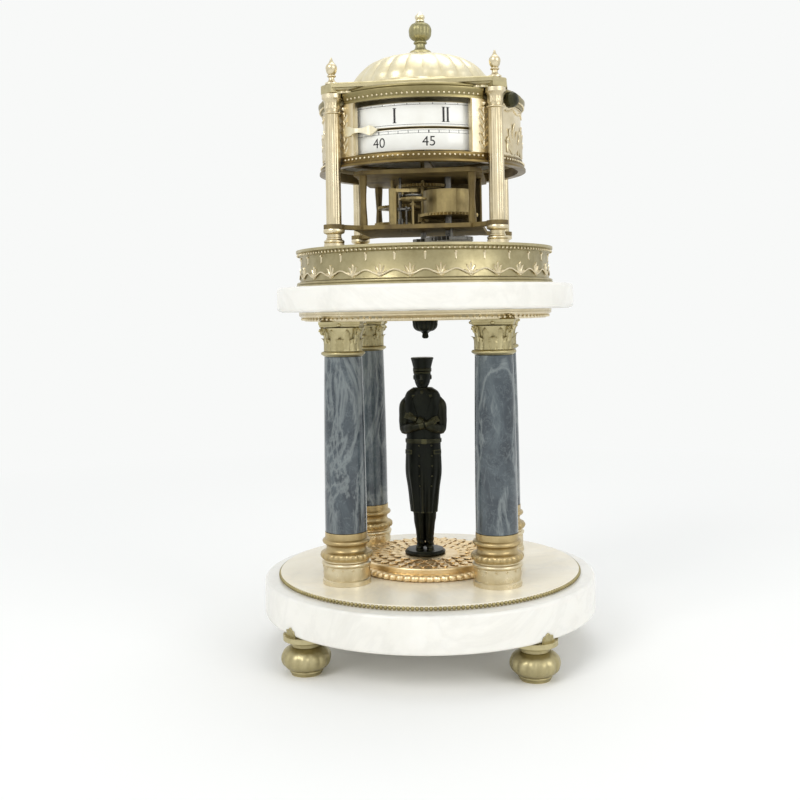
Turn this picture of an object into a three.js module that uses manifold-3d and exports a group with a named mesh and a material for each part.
// A free-standing temple clock with annular dials. A round marble base on bun feet carries four
// stone columns round a bronze figure. They hold up a marble disc, and on it stands a gilt cage
// with the spring-driven movement. Two enamel rings, hours above minutes, turn about the clock's
// axis inside a windowed housing and are read against a fixed pointer.
// Millimetres, +Z up, front towards -Y. The origin is on the table, under the clock's axis.

import * as THREE from 'three';
import { mergeVertices } from 'three/addons/utils/BufferGeometryUtils.js';
import Module from 'manifold-3d';

const wasm = await Module();
wasm.setup();

// Shared values

const seatGap = 0.1; // between a piece and the seat it rests on
const runningGap = 0.3; // round an arbor in its bore, and round a post in its eye
const overrun = 1; // how far a cutting tool runs past the face it cuts
const weldDepth = 0.5; // how far joined shapes of one piece run into each other

// Base

const footHeight = 27;
const footRadius = 20;
const footCircleRadius = 110;
const earWidth = 24; // the leaf that rises from the foot against the drum
const earHeight = 9;
const earThickness = 2.5;
const drumRadius = 122;
const drumHeight = 25.5;
const drumEdge = 1.5;
const stepRadius = 112;
const stepHeight = 3.5;
const stepEdge = 1;
const platformRadius = 50;
const platformHeight = 9;
const platformBorder = 5;

// Colonnade

const columnOffset = 53; // each column's axis from the clock's middle planes
const columnBaseRadius = 17;
const columnBaseHeight = 36;
const shaftRadius = 14.7;
const shaftTopRadius = 13.3;
const shaftHeight = 123;
const capitalRadius = 17;
const capitalHeight = 24.3;
const abacusHeight = 4;

// Entablature and attic

const ringRadius = 94;
const ringHeight = 6.7;
const ringWidth = 66;
const discRadius = 110;
const discHeight = 18;
const discEdge = 1.5;
const atticMargin = 7.35; // of the attic's top outside the posts
const atticHeight = 27;
const atticWall = 3;
const atticTopThickness = 4;

// Cage

const postGap = 0.35; // from the housing's wall to the posts
const postRadius = 5.5;
const postCollarRadius = 7.3;
const postHeight = 107;
const corniceMargin = 0.5; // of the cornice outside the posts' heads
const corniceThickness = 7;
const corniceCorner = 9;
const domeInset = 10; // from the cornice's edge to the dome
const domeHeight = 32;
const domeWall = 2.5;
const domeRibs = 12;
const domeRibDepth = 2;
const finialRadius = 8.5;
const finialHeight = 32;
const finialScrewRadius = 1.8;
const cornerFinialRadius = 5.2;
const cornerFinialHeight = 19;

// Dial

const dialGap = 3; // from the enamel to the housing's inside
const dialWall = 2;
const hourBandHeight = 17;
const minuteBandHeight = 15;
const bandGap = 1.2;
const dialTopGap = 9.3; // from the hour ring's top to the cornice
const housingRadius = 75;
const housingWall = 4;
const housingRailHeight = 7;
const housingClearance = 1.5; // from each ring's edge to the housing's rail
const windowHalfAngle = THREE.MathUtils.degToRad(33);
const spiderThickness = 2;
const spiderArmWidth = 7;
const spiderHubRadius = 7;
const spiderRimWidth = 4;
const pointerThickness = 1.2;
const pointerWidth = 7;
const pointerGap = 1.2; // from the enamel to the pointer's back
const pointerFootAngle = THREE.MathUtils.degToRad(-40); // from the front, towards the left
const pointerTipAngle = THREE.MathUtils.degToRad(-20);
const pointerBend = THREE.MathUtils.degToRad(6);

// Movement frame

const plateHalfWidth = 46;
const plateThickness = 3;
const plateCorner = 8;
const plateDrop = 13; // from the attic's top to the pillar plate
const pillarOffset = 39;
const pillarRadius = 3;
const pillarWaistRadius = 2.1;
const pillarHeight = 36;
const armWidth = 7;
const eyeRadius = 7.5;
const shieldRadius = 44; // the sheet behind the train that keeps dust off it
const shieldThickness = 1;
const shieldStart = THREE.MathUtils.degToRad(-5);
const shieldEnd = THREE.MathUtils.degToRad(130);

// Train: the wheels, their teeth and where their arbors stand

const arborRadius = 1.5;
const pivotRadius = 0.9;
const endShake = 0.3;
const wheelThickness = 2;
const barrelTeeth = 48;
const centrePinionLeaves = 8;
const barrelPlaceRadius = 24.5; // each place is measured from the arbor before it
const barrelAngle = THREE.MathUtils.degToRad(-35);
const barrelWheelLift = 7; // each lift is from the pillar plate's top to the wheel's underside
const barrelDrumRadius = 18.2;
const barrelDrumHeight = 17;
const barrelArborRadius = 2.5;
const centreTeeth = 48;
const thirdPinionLeaves = 6;
const thirdPlaceRadius = 21.6;
const thirdAngle = THREE.MathUtils.degToRad(150);
const centreWheelLift = 30;
const thirdTeeth = 45;
const fourthPinionLeaves = 6;
const fourthPlaceRadius = 18.7;
const fourthAngle = THREE.MathUtils.degToRad(-100);
const thirdWheelLift = 16;
const fourthTeeth = 48;
const escapePinionLeaves = 6;
const escapePlaceRadius = 14.85;
const escapeAngle = THREE.MathUtils.degToRad(-60);
const fourthWheelLift = 2;
const pinionOverlap = 2; // how far a pinion runs past the wheel that drives it, at each side

// Escapement

const escapeTeeth = 15;
const escapeRadius = 6;
const escapeWheelLift = 12;
const escapeWheelThickness = 1.5;
const palletPlaceRadius = 8.2;
const palletReach = THREE.MathUtils.degToRad(26); // each pallet's angle from the line of centres
const palletClearance = 0.5; // the pallets stand clear of the teeth, so that each part turns alone
const palletThickness = 1.2;
const leverAngle = THREE.MathUtils.degToRad(-52);
const balancePlaceRadius = 9.2; // from the pallet arbor
const balanceRadius = 10;
const balanceRimWidth = 1.8;
const balanceThickness = 1.6;
const balanceLift = 18;
const staffRadius = 0.9;
const rollerRadius = 2.2;
const rollerThickness = 1;
const rollerLift = 14.6;
const springTurns = 4;
const springTurnWidth = 1.4; // from turn to turn
const springBoreRadius = 1.9;
const springThickness = 0.35;
const springHeight = 0.9;
const springLift = 21;
const springStudRadius = 0.9; // holds the spring's outer end under the cock
const cockLift = 23.5;
const cockThickness = 2.4;
const cockWidth = 6;
const cockFootPlaceRadius = 15;
const cockAngle = THREE.MathUtils.degToRad(205);

// Motion work under the cornice

const cannonTeeth = 10;
const minuteWheelTeeth = 30;
const minutePinionLeaves = 7;
const hourWheelTeeth = 28;
const motionPlaceRadius = 16;
const motionAngle = THREE.MathUtils.degToRad(70);
const motionThickness = 1.8;
const motionGap = 0.6;
const studRadius = 1.4;
const pipeWall = 1.2;
const collarHeight = 2; // of the shoulders that carry the hour wheel and the winding arbor

// Winding and setting

const windingTeeth = 14;
const ratchetTeeth = 32;
const windingWheelThickness = 3;
const windingWheelDrop = 5; // from the pillar plate's underside to the winding wheels
const windingArborRadius = 2.2;
const knobRadius = 10.5;
const knobHeight = 21;
const clickLength = 11;
const clickWidth = 4;
const clickThickness = 2.2;
const clickClearance = 0.5;
const clickAngle = THREE.MathUtils.degToRad(-80);
const settingKnobRadius = 5.6;
const settingKnobLength = 8;
const settingArborRadius = 1.3;
const rollerWheelRadius = 2.4;
const rollerWheelThickness = 2.4;
const settingGap = 1.17; // from the knob to the post beside it
const rollerLiftGap = 0.3; // between the friction roller and the hour ring's edge

// Figure

const figureHeadroom = 13; // from the cap to the winding knob
const figureBaseRadius = 15;
const figureShift = 2.8; // the figure stands this far left of the clock's axis
const figureBaseHeight = 3;

// Sizes that follow from others

const dialRadius = housingRadius - housingWall - dialGap;
const postCircleRadius = housingRadius + postGap + postRadius;
const postOffset = postCircleRadius / Math.SQRT2; // each post's axis from the clock's middle planes
const atticRadius = postCircleRadius + postCollarRadius + atticMargin;
const corniceHalfWidth = postOffset + postCollarRadius + corniceMargin;
const domeRadius = corniceHalfWidth - domeInset;
const settingStandOff = postCollarRadius + settingKnobRadius + settingGap;
const settingAngle = Math.asin(settingStandOff / postCircleRadius) - Math.PI / 4;
const columnHeight = columnBaseHeight + shaftHeight + capitalHeight;
const knobDrop = knobHeight - ringHeight; // how far the winding knob hangs below the gilt ring
const figureHeight = columnHeight - platformHeight - figureBaseHeight - knobDrop - figureHeadroom;

// How finely round shapes are cut

const fine = 36;
const medium = 16;
const coarse = 12;
const small = 8;

// Tooth form, as shares of the module or of the pitch

const wheelAddendumShare = 0.75;
const wheelDedendumShare = 1.4;
const wheelTipShare = 0.12;
const pinionAddendumShare = 0.6;
const pinionDedendumShare = 1.4;
const pinionTipShare = 0.12;

// Levels, worked up from the table

const drumZ = footHeight + seatGap;
const stepZ = drumZ + drumHeight + seatGap;
const floorZ = stepZ + stepHeight;
const columnBaseZ = floorZ + seatGap;
const shaftZ = columnBaseZ + columnBaseHeight + seatGap;
const capitalZ = shaftZ + shaftHeight + seatGap;
const ringZ = capitalZ + capitalHeight + seatGap;
const discZ = ringZ + ringHeight + seatGap;
const atticZ = discZ + discHeight + seatGap;
const atticTopZ = atticZ + atticHeight;
const postZ = atticTopZ + seatGap;
const corniceZ = postZ + postHeight + seatGap;
const corniceTopZ = corniceZ + corniceThickness;
const domeZ = corniceTopZ + seatGap;
const hourBandTopZ = corniceZ - dialTopGap;
const hourBandZ = hourBandTopZ - hourBandHeight;
const minuteBandTopZ = hourBandZ - bandGap;
const minuteBandZ = minuteBandTopZ - minuteBandHeight;
const plateZ = atticTopZ + plateDrop;
const trainZ = plateZ + plateThickness;
const upperPlateZ = trainZ + pillarHeight + seatGap;
const upperPlateTopZ = upperPlateZ + plateThickness;

// The pointer's half width from its foot to its tip
const pointerHalfShares = [0.5, 0.9, 1, 0.9, 0.6, 0.45, 0.45, 0.5, 0.8, 1, 0.8, 0.4, 0.05];

// Colours of the materials

const gilt = { color: 0xd4b26a, metalness: 1, roughness: 0.3 };
const brass = { color: 0xb5903f, metalness: 1, roughness: 0.35 };
const steel = { color: 0x6f7178, metalness: 1, roughness: 0.3 };
const whiteMarble = { color: 0xf3f0e6, metalness: 0, roughness: 0.25 };
const blueStone = { color: 0x4f5d6b, metalness: 0, roughness: 0.2 };
const darkBronze = { color: 0x1d2117, metalness: 0.8, roughness: 0.4 };
const enamel = { color: 0xf6f3ea, metalness: 0, roughness: 0.15 };

// Geometry helpers

const polar = (radius, angle) => new THREE.Vector2(radius * Math.cos(angle), radius * Math.sin(angle));

// A closed solid of the manifold library from a three.js geometry.
function toSolid(geometry) {
  const bare = geometry.index ? geometry.toNonIndexed() : geometry.clone();
  for (const name of Object.keys(bare.attributes)) {
    if (name !== 'position') bare.deleteAttribute(name);
  }
  const merged = mergeVertices(bare, 1e-4);
  const corners = merged.index.array;
  const kept = [];
  for (let i = 0; i < corners.length; i += 3) {
    const [a, b, c] = [corners[i], corners[i + 1], corners[i + 2]];
    if (a !== b && b !== c && c !== a) kept.push(a, b, c);
  }
  const made = (triangles) => new wasm.Manifold(new wasm.Mesh({
    numProp: 3,
    vertProperties: merged.attributes.position.array,
    triVerts: new Uint32Array(triangles),
  }));
  const solid = made(kept);
  return solid.volume() < 0 ? made(kept.reverse()) : solid;
}

function toGeometry(solid) {
  const mesh = solid.getMesh();
  const geometry = new THREE.BufferGeometry();
  geometry.setAttribute('position', new THREE.BufferAttribute(mesh.vertProperties, 3));
  geometry.setIndex(new THREE.BufferAttribute(mesh.triVerts, 1));
  return geometry;
}

const join = (...shapes) => toGeometry(shapes.map(toSolid).reduce((a, b) => a.add(b)));

const cut = (shape, ...tools) => toGeometry(
  tools.map(toSolid).reduce((a, b) => a.subtract(b), toSolid(shape)),
);

// Points from start to end, with a round stretch after each point that has a bulge. The bulge is
// the tangent of a quarter of the arc's angle, and a positive one swells outwards.
function curved(points, stepsPerQuarter = 2) {
  const out = [];
  points.forEach(([x, y, bulge = 0], i) => {
    out.push(new THREE.Vector2(x, y));
    if (!bulge || i === points.length - 1) return;
    const [endX, endY] = points[i + 1];
    const sweep = 4 * Math.atan(bulge);
    const steps = Math.max(2, Math.round(Math.abs(sweep) / (Math.PI / 2) * stepsPerQuarter));
    const [midX, midY] = [(x + endX) / 2, (y + endY) / 2];
    const [halfX, halfY] = [(endX - x) / 2, (endY - y) / 2];
    const lift = 1 / Math.tan(sweep / 2);
    const [centreX, centreY] = [midX - halfY * lift, midY + halfX * lift];
    const [fromX, fromY] = [x - centreX, y - centreY];
    for (let k = 1; k < steps; k += 1) {
      const turn = sweep * k / steps;
      out.push(new THREE.Vector2(
        centreX + fromX * Math.cos(turn) - fromY * Math.sin(turn),
        centreY + fromX * Math.sin(turn) + fromY * Math.cos(turn),
      ));
    }
  });
  return out;
}

// A turned solid about Z. The profile runs upwards along the outside; it closes on the axis unless
// it is already a closed ring.
function turned(profile, segments, isRing = false) {
  const points = profile.map((p) => p.clone());
  if (isRing) {
    points.push(points[0].clone());
  } else {
    points.unshift(new THREE.Vector2(0, points[0].y));
    points.push(new THREE.Vector2(0, points[points.length - 1].y));
  }
  return new THREE.LatheGeometry(points, segments).rotateX(Math.PI / 2);
}

// A turned solid from a table of radius and height shares.
const turnedFromShares = (shares, radius, height, segments) => turned(
  curved(shares).map((p) => new THREE.Vector2(p.x * radius, p.y * height)),
  segments,
);

const disc = (radius, height, segments) => turned(
  [new THREE.Vector2(radius, 0), new THREE.Vector2(radius, height)],
  segments,
);

const tube = (radius, boreRadius, height, segments) => turned([
  new THREE.Vector2(boreRadius, 0),
  new THREE.Vector2(radius, 0),
  new THREE.Vector2(radius, height),
  new THREE.Vector2(boreRadius, height),
], segments, true);

const slab = (width, depth, height) => new THREE.BoxGeometry(width, depth, height)
  .translate(0, 0, height / 2);

const extruded = (outline, height, holes = []) => {
  const shape = new THREE.Shape(outline);
  shape.holes = holes.map((hole) => new THREE.Path(hole));
  return new THREE.ExtrudeGeometry(shape, { depth: height, bevelEnabled: false });
};

// A square outline with its corners cut off.
function clippedSquare(half, corner) {
  return [[1, 0], [0, 1], [-1, 0], [0, -1]].flatMap(([x, y]) => {
    const side = new THREE.Vector2(x, y).multiplyScalar(half);
    const along = new THREE.Vector2(-y, x).multiplyScalar(half - corner);
    return [side.clone().sub(along), side.clone().add(along)];
  });
}

// A solid through level elliptical sections: height, middle x and y, half width and half depth.
function lofted(sections, sides) {
  const positions = [];
  const indices = [];
  sections.forEach(({ z, x, y, width, depth }) => {
    for (let k = 0; k < sides; k += 1) {
      const turn = 2 * Math.PI * k / sides;
      positions.push(x + width * Math.cos(turn), y + depth * Math.sin(turn), z);
    }
  });
  for (let i = 0; i < sections.length - 1; i += 1) {
    for (let k = 0; k < sides; k += 1) {
      const [a, b] = [i * sides + k, i * sides + (k + 1) % sides];
      indices.push(a, b, b + sides, a, b + sides, a + sides);
    }
  }
  const last = (sections.length - 1) * sides;
  for (let k = 1; k < sides - 1; k += 1) {
    indices.push(0, k + 1, k, last, last + k, last + k + 1);
  }
  const geometry = new THREE.BufferGeometry();
  geometry.setAttribute('position', new THREE.Float32BufferAttribute(positions, 3));
  geometry.setIndex(indices);
  return geometry;
}

// The outline of a toothed wheel with one tooth pointing along the phase angle. Neighbouring teeth
// meet in the root.
function toothed(teeth, module, phase, form) {
  const pitchRadius = module * teeth / 2;
  const tip = pitchRadius + form.addendumShare * module;
  const root = pitchRadius - form.dedendumShare * module;
  const pitchAngle = 2 * Math.PI / teeth;
  const outline = [];
  for (let k = 0; k < teeth; k += 1) {
    const middle = phase + k * pitchAngle;
    const half = form.tipShare * pitchAngle / 2;
    outline.push(polar(root, middle - pitchAngle / 2), polar(tip, middle - half), polar(tip, middle + half));
  }
  return outline;
}

const wheelForm = {
  addendumShare: wheelAddendumShare,
  dedendumShare: wheelDedendumShare,
  tipShare: wheelTipShare,
};
const pinionForm = {
  addendumShare: pinionAddendumShare,
  dedendumShare: pinionDedendumShare,
  tipShare: pinionTipShare,
};

// A round hole's outline, for a shape with holes.
function circle(radius, segments, x = 0, y = 0) {
  return Array.from({ length: segments }, (_, k) => {
    const turn = 2 * Math.PI * k / segments;
    return new THREE.Vector2(x + radius * Math.cos(turn), y + radius * Math.sin(turn));
  });
}

const leastWindowAngle = THREE.MathUtils.degToRad(6); // of an arm window at the hub

// The windows between a wheel's arms.
function armWindows(outerRadius, hubRadius, arms, armThickness, steps = 2) {
  return Array.from({ length: arms }, (_, k) => {
    const middle = 2 * Math.PI * (k + 0.5) / arms;
    const spanAt = (radius) => Math.PI / arms - armThickness / 2 / radius;
    const arc = (radius, from, to) => Array.from({ length: steps + 1 }, (__, i) => {
      const angle = middle + THREE.MathUtils.lerp(from, to, i / steps);
      return new THREE.Vector2(radius * Math.cos(angle), radius * Math.sin(angle));
    });
    const outer = spanAt(outerRadius);
    const inner = Math.max(spanAt(hubRadius), leastWindowAngle);
    return [...arc(outerRadius, -outer, outer), ...arc(hubRadius, inner, -inner)];
  });
}

const lifted = (shape, z) => shape.translate(0, 0, z);

// The scene graph

const clock = new THREE.Group();

function place(name, geometry, finish, x = 0, y = 0, z = 0, turn = 0) {
  const flat = geometry.index ? geometry.toNonIndexed() : geometry;
  flat.computeVertexNormals();
  const mesh = new THREE.Mesh(flat, new THREE.MeshStandardMaterial(finish));
  mesh.name = name;
  mesh.position.set(x, y, z);
  mesh.rotation.z = turn;
  clock.add(mesh);
  return mesh;
}

const corners = [
  { name: 'front_left', x: -1, y: -1, turn: THREE.MathUtils.degToRad(-135) },
  { name: 'front_right', x: 1, y: -1, turn: THREE.MathUtils.degToRad(-45) },
  { name: 'back_left', x: -1, y: 1, turn: THREE.MathUtils.degToRad(135) },
  { name: 'back_right', x: 1, y: 1, turn: THREE.MathUtils.degToRad(45) },
];

// Base: drum, step, feet and the figure's platform

// A flat round slab with chamfered edges.
function edgedSlab(radius, height, edge, segments) {
  return turned([
    [radius - edge, 0],
    [radius, edge],
    [radius, height - edge],
    [radius - edge, height],
  ].map(([x, y]) => new THREE.Vector2(x, y)), segments);
}

// Bun foot: a pad, a flattened ball, a neck and a top plate.
const footShares = [
  [0.52, 0], [0.56, 0.12], [0.66, 0.18, 0.7], [0.66, 0.64],
  [0.5, 0.72], [0.56, 0.86], [0.78, 0.87], [0.78, 1],
];
// The leaf's outline, as shares of its half width and height.
const earShares = [
  [-0.45, 0], [0.45, 0, -0.35], [1, 0.42, 0.25], [0.55, 0.8, 0.3],
  [0, 1, 0.3], [-0.55, 0.8, 0.25], [-1, 0.42, -0.35], [-0.45, 0],
];

function foot() {
  const bun = turnedFromShares(footShares, footRadius, footHeight, coarse);
  const leaf = extruded(
    curved(earShares, 2).slice(0, -1).map((p) => new THREE.Vector2(p.x * earWidth / 2, p.y * earHeight)),
    earThickness,
  );
  const standOff = drumRadius + seatGap - footCircleRadius;
  const leafFoot = footHeight - earThickness;
  leaf.rotateX(Math.PI / 2).rotateZ(Math.PI / 2).translate(standOff, 0, leafFoot);
  const neckRadius = footRadius * footShares[footShares.length - 1][0];
  const tongueLength = standOff + earThickness - neckRadius / 2;
  const tongue = slab(tongueLength, earWidth / 2, earThickness)
    .translate(neckRadius / 2 + tongueLength / 2, 0, leafFoot);
  return join(bun, tongue, leaf);
}

function buildBase() {
  corners.forEach((corner) => {
    const at = polar(footCircleRadius, corner.turn);
    place(`foot_${corner.name}`, foot(), gilt, at.x, at.y, 0, corner.turn);
  });
  place('base_drum', edgedSlab(drumRadius, drumHeight, drumEdge, fine), whiteMarble, 0, 0, drumZ);
  place('base_step', edgedSlab(stepRadius, stepHeight, stepEdge, fine), whiteMarble, 0, 0, stepZ);
  const borderHeight = platformHeight / 2;
  const borderRadius = platformRadius + platformBorder;
  const edge = [
    [borderRadius - borderHeight / 4, 0],
    [borderRadius, borderHeight / 2],
    [borderRadius - borderHeight / 4, borderHeight],
    [platformRadius, borderHeight],
    [platformRadius, platformHeight],
  ].map(([x, y]) => new THREE.Vector2(x, y));
  place('figure_platform', turned(edge, fine), gilt, 0, 0, floorZ + seatGap);
}

// Colonnade

const columnBaseShares = [
  [1, 0], [1, 0.44], [0.95, 0.46], [0.99, 0.55], [0.95, 0.64],
  [0.88, 0.68], [0.88, 0.8], [0.94, 0.88], [0.88, 1],
];
const capitalShares = [
  [0.8, 0], [0.86, 0.09], [0.78, 0.2], [0.78, 0.46, -0.25], [0.95, 1],
];
const entasisShares = [0, 0.35, 0.7, 1];

function columnShaft() {
  const swell = (share) => shaftRadius - (shaftRadius - shaftTopRadius) * share * share;
  return turned(
    entasisShares.map((share) => new THREE.Vector2(swell(share), share * shaftHeight)),
    medium,
  );
}

function columnCapital() {
  const bellHeight = capitalHeight - abacusHeight + weldDepth;
  const bell = turnedFromShares(capitalShares, capitalRadius, bellHeight, medium);
  const abacus = extruded(clippedSquare(capitalRadius, capitalRadius / 6), abacusHeight);
  return join(bell, lifted(abacus, capitalHeight - abacusHeight));
}

function buildColonnade() {
  corners.forEach((corner) => {
    const [x, y] = [corner.x * columnOffset, corner.y * columnOffset];
    const base = turnedFromShares(columnBaseShares, columnBaseRadius, columnBaseHeight, medium);
    place(`column_base_${corner.name}`, base, gilt, x, y, columnBaseZ);
    place(`column_shaft_${corner.name}`, columnShaft(), blueStone, x, y, shaftZ);
    place(`column_capital_${corner.name}`, columnCapital(), gilt, x, y, capitalZ);
  });
}

// Entablature and attic. The winding arbor passes through both.

const windingBoreRadius = windingArborRadius + runningGap;

function buildEntablature() {
  const bottomRadius = ringRadius - ringHeight / 3;
  const innerRadius = ringRadius - ringWidth;
  const ring = turned(curved([
    [innerRadius, 0],
    [bottomRadius, 0],
    [bottomRadius, ringHeight / 3],
    [ringRadius, ringHeight * 2 / 3],
    [ringRadius, ringHeight],
    [innerRadius, ringHeight],
  ]), fine, true);
  place('entablature_ring', ring, gilt, 0, 0, ringZ);
  const bore = lifted(disc(windingBoreRadius, discHeight + 2 * overrun, small), -overrun);
  const slabShape = edgedSlab(discRadius, discHeight, discEdge, fine);
  place('entablature_disc', cut(slabShape, bore), whiteMarble, 0, 0, discZ);
  const molding = atticWall;
  const wallRadius = atticRadius - molding;
  const attic = turned([
    [windingBoreRadius, atticHeight - atticTopThickness],
    [wallRadius - atticWall, atticHeight - atticTopThickness],
    [wallRadius - atticWall, 0],
    [atticRadius, 0],
    [atticRadius, molding],
    [wallRadius, 1.6 * molding],
    [wallRadius, atticHeight - 1.6 * molding],
    [atticRadius, atticHeight - molding],
    [atticRadius, atticHeight],
    [windingBoreRadius, atticHeight],
  ].map(([x, y]) => new THREE.Vector2(x, y)), fine, true);
  place('attic_drum', attic, gilt, 0, 0, atticZ);
}

// Cage: posts, cornice, corner finials, dome and top finial

const postFootHeight = postCollarRadius;
const postHeadHeight = postCollarRadius * 1.4;
const postSeatZ = plateDrop - seatGap; // where the pillar plate's eyes rest, from the post's foot

function cagePost() {
  const collarHeight = postCollarRadius / 2;
  return turned(curved([
    [postCollarRadius, 0],
    [postCollarRadius, postFootHeight / 2, 0.4],
    [postRadius, postFootHeight],
    [postRadius, postSeatZ - collarHeight - seatGap],
    [postCollarRadius, postSeatZ - collarHeight, 0.4],
    [postCollarRadius, postSeatZ - seatGap],
    [postRadius, postSeatZ - seatGap],
    [postRadius, postHeight - postHeadHeight, 0],
    [postCollarRadius * 0.9, postHeight - postHeadHeight * 0.85],
    [postRadius, postHeight - postHeadHeight * 0.7, -0.3],
    [postCollarRadius, postHeight - postHeadHeight / 4],
    [postCollarRadius, postHeight],
  ], 2), small);
}

const cornerFinialShares = [
  [0.9, 0], [0.9, 0.1], [0.35, 0.26], [0.75, 0.36], [0.75, 0.56], [0.3, 0.84], [0.12, 1],
];
const finialShares = [
  [0.95, 0], [0.95, 0.06], [0.42, 0.2], [0.95, 0.34], [1, 0.48],
  [0.78, 0.68], [0.4, 0.72], [0.52, 0.82], [0.3, 0.94], [0.12, 1],
];
// The dome's inner line from crown to eaves, as shares of its radius and height.
const domeHollowShares = [[0.3, 0.88], [0.85, 0.42]];
// The dome's outer line from eaves to crown, as shares of its radius and height.
const domeShares = [
  [1, 0], [1, 0.1], [0.95, 0.15], [0.95, 0.26, 0.2], [0.6, 0.8, 0.05], [0.28, 0.93], [0.2, 1],
];

function domeShell() {
  const outer = curved(domeShares).map((p) => new THREE.Vector2(p.x * domeRadius, p.y * domeHeight));
  const bore = finialScrewRadius + runningGap;
  const crown = outer[outer.length - 1];
  const inner = domeHollowShares.map(([x, y]) => new THREE.Vector2(
    x * domeRadius - domeWall,
    y * domeHeight - domeWall,
  ));
  return turned([
    new THREE.Vector2(domeRadius - domeWall, 0),
    ...outer,
    new THREE.Vector2(bore, crown.y),
    new THREE.Vector2(bore, crown.y - domeWall),
    ...inner,
  ], fine, true);
}

function topFinial() {
  const body = turnedFromShares(finialShares, finialRadius, finialHeight, coarse);
  const screw = lifted(disc(finialScrewRadius, domeHeight / 3 + weldDepth, small), -domeHeight / 3);
  return join(body, screw);
}

const motionStudZ = -(2 * motionThickness + 3 * motionGap + seatGap);
const studHead = 0.8; // thickness of the head under the motion wheel

// A square plate on the posts. The round bed under it closes the top of the housing.
function cornicePlate() {
  const eaves = corniceHalfWidth;
  const frieze = corniceHalfWidth - corniceThickness / 2;
  const top = extruded(clippedSquare(eaves, corniceCorner), corniceThickness / 2);
  const bed = extruded(clippedSquare(frieze, corniceCorner), corniceThickness / 2 + weldDepth);
  const cover = disc(housingRadius, corniceThickness / 2, fine);
  const at = polar(motionPlaceRadius, motionAngle);
  const stud = disc(studRadius, weldDepth - motionStudZ, small).translate(at.x, at.y, motionStudZ);
  const head = disc(2 * studRadius, studHead, small).translate(at.x, at.y, motionStudZ - studHead);
  return join(lifted(top, corniceThickness / 2), bed, cover, stud, head);
}

function buildCage() {
  corners.forEach((corner) => {
    const [x, y] = [corner.x * postOffset, corner.y * postOffset];
    place(`cage_post_${corner.name}`, cagePost(), gilt, x, y, postZ);
    const finial = turnedFromShares(cornerFinialShares, cornerFinialRadius, cornerFinialHeight, small);
    place(`corner_finial_${corner.name}`, finial, gilt, x, y, corniceTopZ + seatGap);
  });
  place('cornice_plate', cornicePlate(), gilt, 0, 0, corniceZ);
  place('dome', domeShell(), gilt, 0, 0, domeZ);
  place('top_finial', topFinial(), gilt, 0, 0, domeZ + domeHeight + seatGap);
}

// Dial: housing, pointer, the two enamel bands and the wheels that carry them

const housingZ = minuteBandZ - housingClearance - housingRailHeight;
const housingTopZ = corniceZ - seatGap;

function dialHousing() {
  const height = housingTopZ - housingZ;
  const inner = housingRadius - housingWall;
  const shell = tube(housingRadius, inner, height, fine);
  const windowHeight = height - 2 * housingRailHeight;
  const windows = [-1, 1].map((side) => {
    const sector = new THREE.Shape();
    const reach = housingRadius * 1.5;
    sector.moveTo(0, 0);
    sector.lineTo(reach * Math.cos(windowHalfAngle), -reach * Math.sin(windowHalfAngle));
    sector.lineTo(reach * Math.cos(windowHalfAngle), reach * Math.sin(windowHalfAngle));
    sector.closePath();
    return new THREE.ExtrudeGeometry(sector, { depth: windowHeight, bevelEnabled: false })
      .rotateZ(side * Math.PI / 2)
      .translate(0, 0, housingRailHeight);
  });
  const settingBore = disc(settingArborRadius + runningGap, housingRadius, small)
    .rotateY(Math.PI / 2)
    .rotateZ(settingAngle)
    .translate(0, 0, settingZ - housingZ);
  const rails = [0, height - housingRailHeight / 3].map((z) => lifted(
    tube(housingRadius + housingWall / 2, inner, housingRailHeight / 3, fine),
    z,
  ));
  // The posts stand in grooves of the rails, and their heads in deeper ones.
  const beside = (radius, tall, z) => corners.map((corner) => disc(radius, tall, coarse)
    .translate(corner.x * postOffset, corner.y * postOffset, z));
  const grooves = [
    ...beside(postRadius + runningGap, height + 2 * overrun, -overrun),
    ...beside(postCollarRadius + runningGap, postHeadHeight + overrun, height - postHeadHeight),
  ];
  return cut(join(shell, ...rails), ...windows, settingBore, ...grooves);
}

// The pointer is screwed to the panel left of the front window. Its blade bends in towards the
// dial once it is past the panel's edge.
function pointerBlade() {
  const seatRadius = housingRadius + seatGap;
  const tipRadius = dialRadius + pointerGap;
  const bendStart = -windowHalfAngle + pointerBend / 4;
  const radiusAt = (angle) => THREE.MathUtils.lerp(
    seatRadius,
    tipRadius,
    THREE.MathUtils.smoothstep(angle, bendStart, bendStart + pointerBend),
  );
  const steps = pointerHalfShares.length - 1;
  const positions = [];
  const indices = [];
  pointerHalfShares.forEach((share, i) => {
    const angle = THREE.MathUtils.lerp(pointerFootAngle, pointerTipAngle, i / steps);
    const inner = radiusAt(angle);
    const outer = inner + pointerThickness;
    const half = pointerWidth / 2 * share;
    [[inner, -half], [outer, -half], [outer, half], [inner, half]].forEach(([radius, z]) => {
      const at = polar(radius, angle - Math.PI / 2);
      positions.push(at.x, at.y, z);
    });
    for (let k = 0; k < 4 && i < steps; k += 1) {
      const [a, b] = [4 * i + k, 4 * i + (k + 1) % 4];
      indices.push(a, a + 4, b + 4, a, b + 4, b);
    }
  });
  const last = 4 * steps;
  indices.push(0, 1, 2, 0, 2, 3, last, last + 2, last + 1, last, last + 3, last + 2);
  const blade = new THREE.BufferGeometry();
  blade.setAttribute('position', new THREE.Float32BufferAttribute(positions, 3));
  blade.setIndex(indices);
  return join(blade);
}

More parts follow.
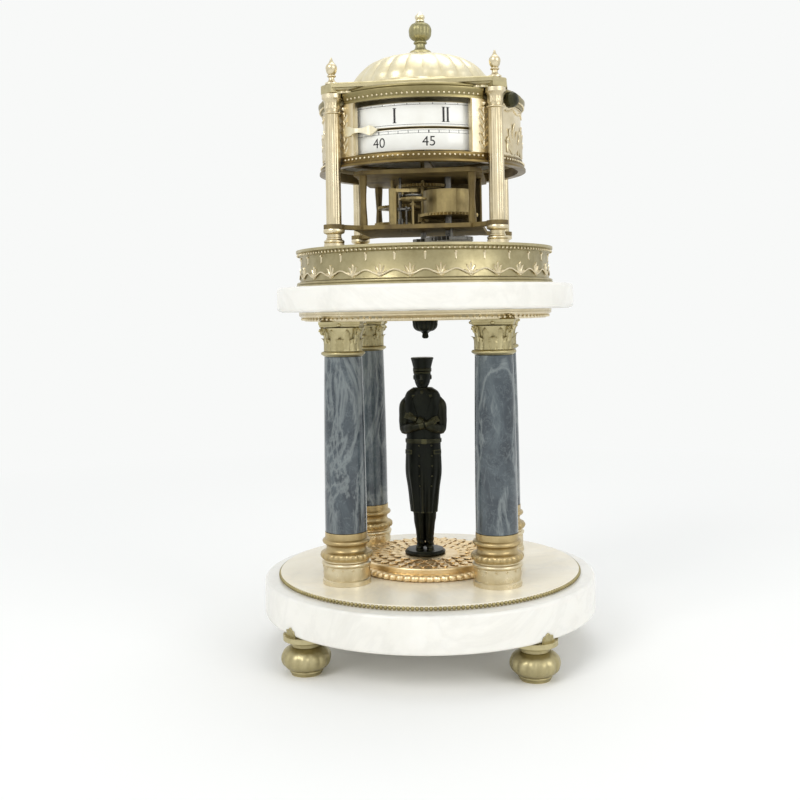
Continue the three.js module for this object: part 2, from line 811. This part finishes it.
const minuteSpiderZ = minuteBandZ + 1.5 * spiderThickness;
const hourSpiderZ = hourBandZ + hourBandHeight / 2 - spiderThickness;
const pipeBoreRadius = arborRadius + runningGap;
const pipeRadius = pipeBoreRadius + pipeWall;
const motionZ = corniceZ + motionStudZ; // underside of the motion work
const hourModule = 2 * motionPlaceRadius / (minutePinionLeaves + hourWheelTeeth);
const cannonModule = 2 * motionPlaceRadius / (cannonTeeth + minuteWheelTeeth);
const hourWheelZ = motionZ + motionGap / 2;
const cannonZ = hourWheelZ + motionThickness + motionGap;

// A light wheel whose rim holds an enamel band.
function spider() {
  const rimRadius = dialRadius - dialWall - seatGap;
  return extruded(
    circle(rimRadius, fine),
    spiderThickness,
    armWindows(rimRadius - spiderRimWidth, spiderHubRadius, 4, spiderArmWidth, 5),
  );
}

function band(height) {
  return tube(dialRadius, dialRadius - dialWall, height, fine);
}

function hourWheel() {
  const teeth = extruded(
    toothed(hourWheelTeeth, hourModule, motionAngle, wheelForm),
    motionThickness,
  );
  const length = hourWheelZ + motionThickness - hourSpiderZ;
  const body = join(spider(), disc(pipeRadius, length, medium), lifted(teeth, hourWheelZ - hourSpiderZ));
  return cut(body, lifted(disc(pipeBoreRadius, length + 2 * overrun, medium), -overrun));
}

const minuteWheelPhase = motionAngle + Math.PI;

function motionWheel() {
  const wheel = extruded(
    toothed(minuteWheelTeeth, cannonModule, minuteWheelPhase, wheelForm),
    motionThickness,
  );
  const leaves = extruded(
    toothed(minutePinionLeaves, hourModule, minuteWheelPhase + Math.PI / minutePinionLeaves, pinionForm),
    motionThickness + motionGap + weldDepth,
  );
  const body = join(lifted(wheel, motionThickness + motionGap), leaves);
  const length = 2 * motionThickness + motionGap;
  return cut(body, lifted(disc(studRadius + runningGap, length + 2 * overrun, small), -overrun));
}

// The setting knob's friction roller stands on the hour band's top edge.
const settingZ = hourBandTopZ + rollerLiftGap + rollerWheelRadius;

function settingKnob() {
  const middle = dialRadius - dialWall / 2;
  const innerEnd = middle - rollerWheelThickness;
  const knobStart = housingRadius + housingWall;
  const arbor = disc(settingArborRadius, knobStart + weldDepth - innerEnd, small).translate(0, 0, innerEnd);
  const roller = disc(rollerWheelRadius, rollerWheelThickness, coarse)
    .translate(0, 0, middle - rollerWheelThickness / 2);
  const grip = turned(curved([
    [settingKnobRadius * 0.7, 0],
    [settingKnobRadius, settingKnobLength / 6],
    [settingKnobRadius, settingKnobLength * 2 / 3, 0.4],
    [settingKnobRadius / 3, settingKnobLength],
  ], 2), coarse).translate(0, 0, knobStart);
  return join(arbor, roller, grip).rotateY(Math.PI / 2);
}

function buildDial() {
  place('dial_housing', dialHousing(), gilt, 0, 0, housingZ);
  place('pointer', pointerBlade(), gilt, 0, 0, minuteBandTopZ + bandGap / 2);
  place('hour_ring', band(hourBandHeight), enamel, 0, 0, hourBandZ);
  place('hour_wheel', hourWheel(), brass, 0, 0, hourSpiderZ);
  place('minute_ring', band(minuteBandHeight), enamel, 0, 0, minuteBandZ);
  const hubBore = lifted(disc(arborRadius + seatGap, spiderThickness + 2 * overrun, medium), -overrun);
  place('minute_spider', cut(spider(), hubBore), brass, 0, 0, minuteSpiderZ);
  const at = polar(motionPlaceRadius, motionAngle);
  place('motion_wheel', motionWheel(), brass, at.x, at.y, hourWheelZ);
  place('setting_knob', settingKnob(), darkBronze, 0, 0, settingZ, settingAngle);
}

// Movement: arbor places

const barrelAt = polar(barrelPlaceRadius, barrelAngle);
const thirdAt = polar(thirdPlaceRadius, thirdAngle);
const fourthAt = polar(fourthPlaceRadius, fourthAngle).add(thirdAt);
const escapeAt = polar(escapePlaceRadius, escapeAngle).add(fourthAt);
const palletAt = polar(palletPlaceRadius, leverAngle).add(escapeAt);
const balanceAt = polar(balancePlaceRadius, leverAngle).add(palletAt);
const cockFootAt = polar(cockFootPlaceRadius, cockAngle).add(balanceAt);

const moduleFor = (distance, teeth, leaves) => 2 * distance / (teeth + leaves);
const barrelModule = moduleFor(barrelPlaceRadius, barrelTeeth, centrePinionLeaves);
const centreModule = moduleFor(thirdPlaceRadius, centreTeeth, thirdPinionLeaves);
const thirdModule = moduleFor(fourthPlaceRadius, thirdTeeth, fourthPinionLeaves);
const fourthModule = moduleFor(escapePlaceRadius, fourthTeeth, escapePinionLeaves);

const windingModule = moduleFor(barrelPlaceRadius, windingTeeth, ratchetTeeth);
const windingZ = plateZ - windingWheelDrop - windingWheelThickness;

// The click's pivot holds it just clear of the ratchet's teeth.
const clickPivotAt = polar(
  windingModule * ratchetTeeth / 2 + windingModule + clickClearance + clickWidth / 2,
  clickAngle,
).add(barrelAt);

function bored(plate, holes) {
  const tools = holes.map(({ at, radius }) => disc(radius, plateThickness + 2 * overrun, small)
    .translate(at.x, at.y, -overrun));
  return cut(plate, ...tools);
}

const pivotHole = (at) => ({ at, radius: pivotRadius + runningGap });

// The pillar plate has four riveted pillars, and arms that reach to the cage's posts.
function pillarPlate() {
  const body = extruded(clippedSquare(plateHalfWidth, plateCorner), plateThickness);
  const reach = (postOffset - plateHalfWidth) * Math.SQRT2 + plateCorner;
  const arms = corners.map((corner) => slab(reach, armWidth, plateThickness)
    .translate(postOffset * Math.SQRT2 - reach / 2, 0, 0)
    .rotateZ(corner.turn));
  const eyes = corners.map((corner) => disc(eyeRadius, plateThickness, coarse)
    .translate(corner.x * postOffset, corner.y * postOffset, 0));
  const pillarShape = () => turned([
    [pillarRadius, 0],
    [pillarRadius, plateThickness + pillarRadius],
    [pillarWaistRadius, plateThickness + pillarHeight / 2],
    [pillarRadius, plateThickness + pillarHeight - pillarRadius],
    [pillarRadius, plateThickness + pillarHeight],
  ].map(([x, y]) => new THREE.Vector2(x, y)), small);
  const pillars = corners.map((corner) => pillarShape()
    .translate(corner.x * pillarOffset, corner.y * pillarOffset, 0));
  const eyeBores = corners.map((corner) => ({
    at: new THREE.Vector2(corner.x * postOffset, corner.y * postOffset),
    radius: postRadius + runningGap,
  }));
  return bored(join(body, ...arms, ...eyes, ...pillars), [
    ...eyeBores,
    pivotHole(new THREE.Vector2()),
    { at: barrelAt, radius: barrelArborRadius + runningGap },
    ...[thirdAt, fourthAt, escapeAt, palletAt, balanceAt, clickPivotAt].map(pivotHole),
  ]);
}

function upperPlate() {
  const body = extruded(clippedSquare(plateHalfWidth, plateCorner), plateThickness);
  return bored(body, [
    { at: new THREE.Vector2(), radius: arborRadius + runningGap },
    { at: barrelAt, radius: barrelArborRadius + runningGap },
    ...[thirdAt, fourthAt, escapeAt].map(pivotHole),
  ]);
}

// An arbor between the plates, with a thinner pivot at each end.
function arbor(radius) {
  const shoulder = endShake;
  const top = pillarHeight - endShake;
  const pivot = plateThickness / 2;
  return turned([
    new THREE.Vector2(pivotRadius, -pivot),
    new THREE.Vector2(pivotRadius, shoulder),
    new THREE.Vector2(radius, shoulder),
    new THREE.Vector2(radius, top),
    new THREE.Vector2(pivotRadius, top),
    new THREE.Vector2(pivotRadius, pillarHeight + pivot),
  ], small);
}

function crossedWheel(teeth, module, phase, thickness, hubRadius) {
  const rim = module * teeth / 2 - wheelDedendumShare * module;
  return extruded(
    toothed(teeth, module, phase, wheelForm),
    thickness,
    armWindows(rim * 0.84, hubRadius, 4, hubRadius * 0.7),
  );
}

// A pinion that runs a little past the wheel that drives it.
function pinion(leaves, module, phase, wheelLift, thickness) {
  return lifted(
    extruded(toothed(leaves, module, phase, pinionForm), thickness + 2 * pinionOverlap),
    wheelLift - pinionOverlap,
  );
}

// The pinion's phase puts a gap opposite the tooth of the wheel that drives it.
const gapPhase = (angle, leaves) => angle + Math.PI + Math.PI / leaves;

const hubRadiusShare = 2.6;

function centreWheel() {
  const hub = arborRadius * hubRadiusShare;
  const wheel = crossedWheel(centreTeeth, centreModule, thirdAngle, wheelThickness, hub);
  const leaves = pinion(
    centrePinionLeaves,
    barrelModule,
    gapPhase(barrelAngle + Math.PI, centrePinionLeaves),
    barrelWheelLift,
    wheelThickness,
  );
  const stem = disc(arborRadius, cannonZ + motionThickness - trainZ - endShake, medium);
  const pivot = lifted(disc(pivotRadius, plateThickness / 2 + 2 * endShake, small), -plateThickness / 2);
  const cannon = extruded(
    toothed(cannonTeeth, cannonModule, motionAngle + Math.PI / cannonTeeth, pinionForm),
    motionThickness,
  );
  const collar = disc(pipeRadius, collarHeight, coarse);
  return join(
    lifted(stem, endShake),
    pivot,
    lifted(collar, hourSpiderZ - collarHeight - 3 * seatGap - trainZ),
    lifted(wheel, centreWheelLift),
    leaves,
    lifted(cannon, cannonZ - trainZ),
  );
}

function trainWheel(teeth, module, phase, lift, leaves, leafModule, leafPhase, leafLift) {
  return join(
    arbor(arborRadius),
    lifted(crossedWheel(teeth, module, phase, wheelThickness, arborRadius * hubRadiusShare), lift),
    pinion(leaves, leafModule, leafPhase, leafLift, wheelThickness),
  );
}

function barrelDrum() {
  const teeth = toothed(barrelTeeth, barrelModule, barrelAngle + Math.PI, wheelForm);
  const wheel = extruded(teeth, wheelThickness);
  const wall = disc(barrelDrumRadius, barrelDrumHeight + weldDepth, 2 * medium);
  const drum = lifted(wall, wheelThickness - weldDepth);
  const length = wheelThickness + barrelDrumHeight;
  const bore = disc(barrelArborRadius + runningGap, length + 2 * overrun, coarse);
  return cut(join(wheel, drum), lifted(bore, -overrun));
}

function barrelArbor() {
  const teeth = toothed(ratchetTeeth, windingModule, barrelAngle + Math.PI, wheelForm);
  const ratchet = extruded(teeth, windingWheelThickness);
  const top = upperPlateTopZ + barrelArborRadius - windingZ;
  return join(ratchet, disc(barrelArborRadius, top, coarse));
}

function windingArbor() {
  const wheel = extruded(
    toothed(windingTeeth, windingModule, barrelAngle + Math.PI / windingTeeth, pinionForm),
    windingWheelThickness,
  );
  const top = plateZ - seatGap * 3;
  const bottom = discZ - seatGap;
  const rod = disc(windingArborRadius, top - bottom, coarse);
  const collar = disc(2 * windingArborRadius, collarHeight, coarse);
  return join(lifted(rod, bottom - windingZ), wheel, lifted(collar, atticTopZ + seatGap - windingZ));
}

const knobShares = [
  [0.08, 0, 0.2], [0.26, 0.12], [0.2, 0.24], [0.42, 0.28, 0.4], [0.9, 0.62],
  [0.86, 0.78], [0.7, 0.82], [1, 0.9], [1, 1],
];

// A pawl on the plate's underside.
function clickPawl() {
  const tip = clickLength;
  const half = clickWidth / 2;
  const outline = [
    new THREE.Vector2(-half, -half),
    new THREE.Vector2(tip * 0.7, -half),
    new THREE.Vector2(tip, half * 0.4),
    new THREE.Vector2(tip * 0.75, half),
    new THREE.Vector2(-half, half),
  ];
  const pin = disc(pivotRadius, windingWheelDrop + clickThickness + plateThickness / 2, small);
  return join(extruded(outline, clickThickness), pin);
}

// Escapement

function escapeWheel() {
  const outline = [];
  const root = escapeRadius * 0.72;
  for (let k = 0; k < escapeTeeth; k += 1) {
    const middle = 2 * Math.PI * k / escapeTeeth;
    const pitch = 2 * Math.PI / escapeTeeth;
    [[root, -0.2], [escapeRadius, 0.12], [escapeRadius, 0.2], [root, 0.22]].forEach(([radius, share]) => {
      outline.push(polar(radius, middle + share * pitch));
    });
  }
  const windows = armWindows(root * 0.8, arborRadius * 1.3, 3, arborRadius * 0.8);
  const wheel = extruded(outline, escapeWheelThickness, windows);
  const leaves = pinion(
    escapePinionLeaves,
    fourthModule,
    gapPhase(escapeAngle, escapePinionLeaves),
    fourthWheelLift,
    wheelThickness,
  );
  return join(arbor(pivotRadius * 1.2), lifted(wheel, escapeWheelLift), leaves);
}

// The lever's own frame has its arbor at the origin and the balance along +X.
function palletLever() {
  const thick = palletThickness;
  const fork = balancePlaceRadius - rollerRadius;
  const stem = slab(fork, thick, thick).translate(fork / 2, 0, 0);
  const stoneRadius = escapeRadius + palletClearance + thick / 2;
  const stones = [-1, 1].map((side) => ({
    x: stoneRadius * Math.cos(palletReach) - palletPlaceRadius,
    y: side * stoneRadius * Math.sin(palletReach),
  }));
  const arms = stones.map(({ x, y }) => {
    const length = Math.hypot(x, y);
    return slab(length, thick, thick).translate(length / 2, 0, 0).rotateZ(Math.atan2(y, x));
  });
  const horns = [-1, 1].map((side) => slab(rollerRadius, thick / 2, thick)
    .translate(fork - rollerRadius / 3, side * thick * 0.9, 0));
  const bridge = slab(thick, thick * 2.2, thick).translate(fork - rollerRadius, 0, 0);
  const pinDrop = escapeWheelLift + plateThickness / 2;
  const pin = lifted(disc(pivotRadius, pinDrop + thick * 2, small), -pinDrop);
  return join(stem, ...arms, ...horns, bridge, pin);
}

const cockZ = trainZ + cockLift;

function balanceWheel() {
  const rim = extruded(
    circle(balanceRadius, medium),
    balanceThickness,
    armWindows(balanceRadius - balanceRimWidth, staffRadius * 2.4, 2, balanceRimWidth, 6),
  );
  const top = cockLift + cockThickness / 2;
  const staff = lifted(disc(staffRadius, top + plateThickness / 2, small), -plateThickness / 2);
  const roller = lifted(disc(rollerRadius, rollerThickness, coarse), rollerLift);
  const collet = lifted(disc(springBoreRadius - seatGap, springHeight, coarse), springLift);
  return join(lifted(rim, balanceLift), staff, roller, collet);
}

// A flat spiral ribbon round the balance staff, its outer end held by the cock's stud.
function hairspring() {
  const stepsPerTurn = 14;
  const steps = springTurns * stepsPerTurn;
  const edge = (offset) => Array.from({ length: steps + 1 }, (_, i) => {
    const turn = 2 * Math.PI * i / stepsPerTurn;
    return polar(springBoreRadius + springTurnWidth * i / stepsPerTurn + offset, turn + cockAngle);
  });
  const middle = edge(springThickness / 2);
  const gaps = middle.flatMap((a, i) => middle.slice(i + stepsPerTurn / 2).map((b) => a.distanceTo(b)));
  console.log(`hairspring, least gap to itself: ${(Math.min(...gaps) - springThickness).toFixed(2)} mm`);
  return extruded([...edge(0), ...edge(springThickness).reverse()], springHeight);
}

// The cock's foot stands on the pillar plate and its arm reaches over the balance.
function balanceCock() {
  const arm = slab(cockFootPlaceRadius, cockWidth * 0.8, cockThickness)
    .translate(cockFootPlaceRadius / 2, 0, 0);
  const eye = disc(cockWidth * 0.7, cockThickness, coarse).translate(cockFootPlaceRadius, 0, 0);
  const post = lifted(disc(cockWidth / 2, cockLift + cockThickness - seatGap, coarse), seatGap - cockLift);
  const bore = disc(staffRadius + runningGap, cockThickness + 2 * overrun, small)
    .translate(cockFootPlaceRadius, 0, -overrun);
  const springReach = springBoreRadius + springTurnWidth * springTurns + springThickness / 2;
  const studZ = springLift + springHeight + seatGap - cockLift;
  const stud = disc(springStudRadius, cockThickness / 2 - studZ, small)
    .translate(cockFootPlaceRadius - springReach, 0, studZ);
  return cut(join(arm, eye, post, stud), bore);
}

// A curved sheet that stands between the plates behind the train.
function dustShield() {
  const arc = (radius, from, to) => Array.from({ length: medium + 1 }, (_, k) => polar(
    radius,
    THREE.MathUtils.lerp(from, to, k / medium),
  ));
  const outline = [
    ...arc(shieldRadius, shieldStart, shieldEnd),
    ...arc(shieldRadius - shieldThickness, shieldEnd, shieldStart),
  ];
  return extruded(outline, pillarHeight - seatGap);
}

function buildMovement() {
  place('dust_shield', dustShield(), brass, 0, 0, trainZ + seatGap);
  const at = (point) => [point.x, point.y];
  place('pillar_plate', pillarPlate(), brass, 0, 0, plateZ);
  place('upper_plate', upperPlate(), brass, 0, 0, upperPlateZ);
  place('centre_wheel', centreWheel(), brass, 0, 0, trainZ);
  place('barrel', barrelDrum(), brass, ...at(barrelAt), trainZ + barrelWheelLift);
  place('barrel_arbor', barrelArbor(), steel, ...at(barrelAt), windingZ);
  place('third_wheel', trainWheel(
    thirdTeeth, thirdModule, fourthAngle, thirdWheelLift,
    thirdPinionLeaves, centreModule, gapPhase(thirdAngle, thirdPinionLeaves), centreWheelLift,
  ), brass, ...at(thirdAt), trainZ);
  place('fourth_wheel', trainWheel(
    fourthTeeth, fourthModule, escapeAngle, fourthWheelLift,
    fourthPinionLeaves, thirdModule, gapPhase(fourthAngle, fourthPinionLeaves), thirdWheelLift,
  ), brass, ...at(fourthAt), trainZ);
  place('escape_wheel', escapeWheel(), steel, ...at(escapeAt), trainZ);
  place('pallet_lever', palletLever(), steel, ...at(palletAt), trainZ + escapeWheelLift, leverAngle);
  place('balance_wheel', balanceWheel(), brass, ...at(balanceAt), trainZ);
  place('hairspring', hairspring(), steel, ...at(balanceAt), trainZ + springLift);
  place('balance_cock', balanceCock(), brass, ...at(cockFootAt), cockZ, cockAngle + Math.PI);
  place('winding_arbor', windingArbor(), steel, 0, 0, windingZ);
  const knob = turnedFromShares(knobShares, knobRadius, knobHeight, coarse);
  place('winding_knob', knob, darkBronze, 0, 0, discZ - knobHeight - 2 * seatGap);
  place('click', clickPawl(), steel, ...at(clickPivotAt), windingZ, clickAngle + Math.PI / 2);
}

// Figure: a man in a long coat with folded arms, cast with its round base

// Each section: height, sideways and forward place, half width and half depth, all as shares of
// the figure's height.
const coatShares = [
  [0.19, 0, 0, 0.07, 0.06], [0.32, 0, 0, 0.084, 0.062], [0.4, 0, 0, 0.092, 0.063],
  [0.57, 0, 0, 0.089, 0.058], [0.66, 0, -0.004, 0.09, 0.06], [0.75, 0, -0.004, 0.1, 0.062],
  [0.79, 0, 0, 0.098, 0.055], [0.82, 0, 0.002, 0.076, 0.046], [0.85, 0, 0.002, 0.034, 0.036],
];
const legShares = [
  [0.016, 0.021, 0.004, 0.024, 0.032], [0.08, 0.022, 0.006, 0.026, 0.03], [0.16, 0.026, 0.004, 0.034, 0.036],
  [0.3, 0.03, 0, 0.038, 0.04],
];
const headShares = [
  [0.83, 0, 0.002, 0.03, 0.032], [0.865, 0, -0.004, 0.032, 0.038], [0.905, 0, -0.004, 0.046, 0.054],
  [0.955, 0, 0, 0.042, 0.05],
];
const capShares = [
  [0.925, 0, -0.004, 0.06, 0.068], [0.945, 0, 0, 0.056, 0.062], [0.99, 0, 0.004, 0.062, 0.064],
  [1, 0, 0.004, 0.056, 0.06],
];

function sections(shares, side = 1) {
  return shares.map(([z, x, y, width, depth]) => ({
    z: z * figureHeight,
    x: side * x * figureHeight,
    y: y * figureHeight,
    width: width * figureHeight,
    depth: depth * figureHeight,
  }));
}

// A limb between two points with a radius at each, all as shares of the figure's height.
function limb(from, to, fromRadius, toRadius) {
  const start = new THREE.Vector3(...from).multiplyScalar(figureHeight);
  const end = new THREE.Vector3(...to).multiplyScalar(figureHeight);
  const along = end.clone().sub(start);
  const length = along.length();
  const [a, b] = [fromRadius * figureHeight, toRadius * figureHeight];
  const shape = turned(curved([
    [a * 0.5, -a * 0.8],
    [a, 0],
    [b, length],
    [b * 0.5, length + b * 0.8],
  ]), small);
  const up = new THREE.Vector3(0, 0, 1);
  shape.applyQuaternion(new THREE.Quaternion().setFromUnitVectors(up, along.normalize()));
  return shape.translate(start.x, start.y, start.z);
}

const shoulderShare = [0.088, 0, 0.765];
const elbowShare = [0.096, -0.014, 0.625];
const wristShares = [[-0.03, -0.078, 0.655], [-0.035, -0.07, 0.68]];
const armRadiusShares = [0.034, 0.028, 0.022];
const heelShare = [0.023, 0.01, 0.018];
const toeShare = [0.03, -0.04, 0.016];
const shoeRadiusShares = [0.02, 0.018];

const mirrored = ([x, y, z], side) => [side * x, y, z];

function figure() {
  const arms = [-1, 1].flatMap((side, i) => {
    const elbow = mirrored(elbowShare, side);
    return [
      limb(mirrored(shoulderShare, side), elbow, armRadiusShares[0], armRadiusShares[1]),
      limb(elbow, mirrored(wristShares[i], side), armRadiusShares[1], armRadiusShares[2]),
    ];
  });
  const shoes = [-1, 1].map((side) => limb(
    mirrored(heelShare, side),
    mirrored(toeShare, side),
    ...shoeRadiusShares,
  ));
  const legs = [-1, 1].map((side) => lofted(sections(legShares, side), small));
  const body = join(
    lofted(sections(coatShares), coarse),
    lofted(sections(headShares), coarse),
    lofted(sections(capShares), coarse),
    ...legs,
    ...arms,
    ...shoes,
  );
  const base = disc(figureBaseRadius, figureBaseHeight, medium);
  return join(lifted(body, figureBaseHeight - weldDepth), base);
}

buildBase();
buildColonnade();
buildEntablature();
buildCage();
buildDial();
buildMovement();
place('figure', figure(), darkBronze, -figureShift, 0, floorZ + 2 * seatGap + platformHeight);

export default clock;
